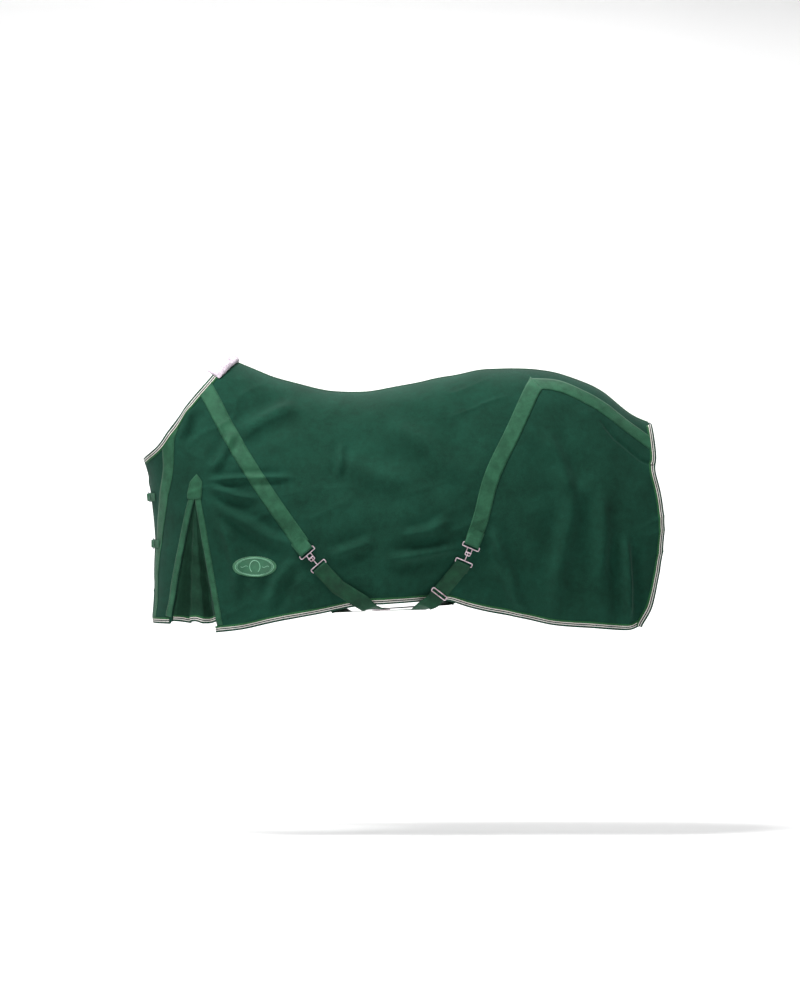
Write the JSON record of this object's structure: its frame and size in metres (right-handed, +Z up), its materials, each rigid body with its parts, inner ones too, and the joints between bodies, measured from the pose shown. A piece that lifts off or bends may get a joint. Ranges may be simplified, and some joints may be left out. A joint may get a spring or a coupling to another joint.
{
  "type": "turnout rug",
  "caption": "Green horse rug with shaped neck, shoulder gussets, fleece withers pad, striped binding, crossed belly straps with T-hook clips and buckled chest.",
  "frame": {"origin": "on the centre back seam, at the lowest point of the back", "axes": "+X towards the tail, +Y towards the off (right) side, +Z up"},
  "size_m": [1.663, 0.654, 0.8991],
  "materials": {
    "cloth": "matte cotton fleece, dark green",
    "striped_binding": "woven binding, dark green, white and black stripes",
    "webbing": "flat woven webbing, mid green",
    "strap_webbing": "flat woven webbing, dark green",
    "tape": "woven tape, mid green",
    "label": "woven oval label, plain motif",
    "fleece": "white pile fleece",
    "nickel": "satin nickel plate with a slight pink tinge",
    "dark_metal": "dark grey plated steel",
    "keeper": "black moulded loop"
  },
  "bodies": {
    "rug": {"centre_back_seam_tape": "tape", "front_belly_strap": "strap_webbing", "lower_buckle_chape": "webbing", "lower_buckle_frame": "dark_metal", "lower_chest_strap": "webbing", "lower_strap_keeper": "keeper", "near_croup_webbing": "webbing", "near_front_edge_tape": "tape", "near_front_hem_binding": "striped_binding", "near_front_surcingle_webbing": "webbing", "near_gusset_front_tape": "tape", "near_gusset_hem_binding": "striped_binding", "near_gusset_patch": "tape", "near_gusset_rear_tape": "tape", "near_hem_binding": "striped_binding", "near_neck_binding": "striped_binding", "near_rear_binding": "striped_binding", "near_rear_surcingle_webbing": "webbing", "near_shoulder_gusset": "cloth", "near_side_panel": "cloth", "off_croup_webbing": "webbing", "off_front_edge_tape": "tape", "off_front_hem_binding": "striped_binding", "off_front_surcingle_webbing": "webbing", "off_gusset_front_tape": "tape", "off_gusset_hem_binding": "striped_binding", "off_gusset_patch": "tape", "off_gusset_rear_tape": "tape", "off_hem_binding": "striped_binding", "off_neck_binding": "striped_binding", "off_rear_binding": "striped_binding", "off_rear_surcingle_webbing": "webbing", "off_shoulder_gusset": "cloth", "off_side_panel": "cloth", "rear_belly_strap": "strap_webbing", "side_label": "label", "upper_buckle_chape": "webbing", "upper_buckle_frame": "dark_metal", "upper_chest_strap": "webbing", "upper_strap_keeper": "keeper", "withers_fleece_pad": "fleece"},
    "front_slot_clip": {"front_slot_clip": "nickel"},
    "front_hook_clip": {"front_hook_clip": "nickel"},
    "rear_slot_clip": {"rear_slot_clip": "nickel"},
    "rear_hook_clip": {"rear_hook_clip": "nickel"},
    "front_adjuster": {"front_strap_adjuster": "nickel"},
    "rear_adjuster": {"rear_strap_adjuster": "nickel"},
    "upper_tongue": {"upper_buckle_tongue": "dark_metal"},
    "lower_tongue": {"lower_buckle_tongue": "dark_metal"},
    "upper_roller": {"upper_buckle_roller": "dark_metal"},
    "lower_roller": {"lower_buckle_roller": "dark_metal"}
  },
  "joints": [
    {"name": "front_clip_lift", "type": "hinge", "parent": "rug", "child": "front_slot_clip", "pos_m": [-0.1393, -0.30724, -0.50498], "axis": [-0.748, 0.1539, -0.6456], "range_deg": [0, 10]},
    {"name": "front_hook_lift", "type": "hinge", "parent": "rug", "child": "front_hook_clip", "pos_m": [-0.09546, -0.30984, -0.55638], "axis": [0.748, -0.1539, 0.6456], "range_deg": [0, 10]},
    {"name": "rear_clip_lift", "type": "hinge", "parent": "rug", "child": "rear_slot_clip", "pos_m": [0.38356, -0.31618, -0.48472], "axis": [-0.912, -0.114, 0.3941], "range_deg": [0, 10]},
    {"name": "rear_hook_lift", "type": "hinge", "parent": "rug", "child": "rear_hook_clip", "pos_m": [0.3562, -0.30995, -0.54622], "axis": [0.912, 0.114, -0.3941], "range_deg": [0, 10]},
    {"name": "front_adjuster_slide", "type": "slide", "parent": "rug", "child": "front_adjuster", "axis": [0.3859, 0.9225, 0.0056], "range_m": [0, 0.045]},
    {"name": "rear_adjuster_slide", "type": "slide", "parent": "rug", "child": "rear_adjuster", "axis": [0.6268, -0.1385, 0.7668], "range_m": [0, 0.06]},
    {"name": "upper_tongue_pivot", "type": "hinge", "parent": "rug", "child": "upper_tongue", "pos_m": [-0.64721, -0.02236, -0.33493], "axis": [-0.1388, 0, 0.9903], "range_deg": [0, 25]},
    {"name": "upper_roller_spin", "type": "hinge", "parent": "rug", "child": "upper_roller", "pos_m": [-0.64833, -0.00039, -0.33509], "axis": [0.1388, 0, -0.9903], "continuous": true},
    {"name": "lower_tongue_pivot", "type": "hinge", "parent": "rug", "child": "lower_tongue", "pos_m": [-0.63406, -0.02237, -0.48358], "axis": [-0.0113, 0, 0.9999], "range_deg": [0, 25]},
    {"name": "lower_roller_spin", "type": "hinge", "parent": "rug", "child": "lower_roller", "pos_m": [-0.63521, -0.0004, -0.48359], "axis": [0.0113, 0, -0.9999], "continuous": true}
  ],
  "couplings": [
    {"joint": "front_hook_lift", "follows": "front_clip_lift", "ratio": 1},
    {"joint": "rear_hook_lift", "follows": "rear_clip_lift", "ratio": 1}
  ]
}
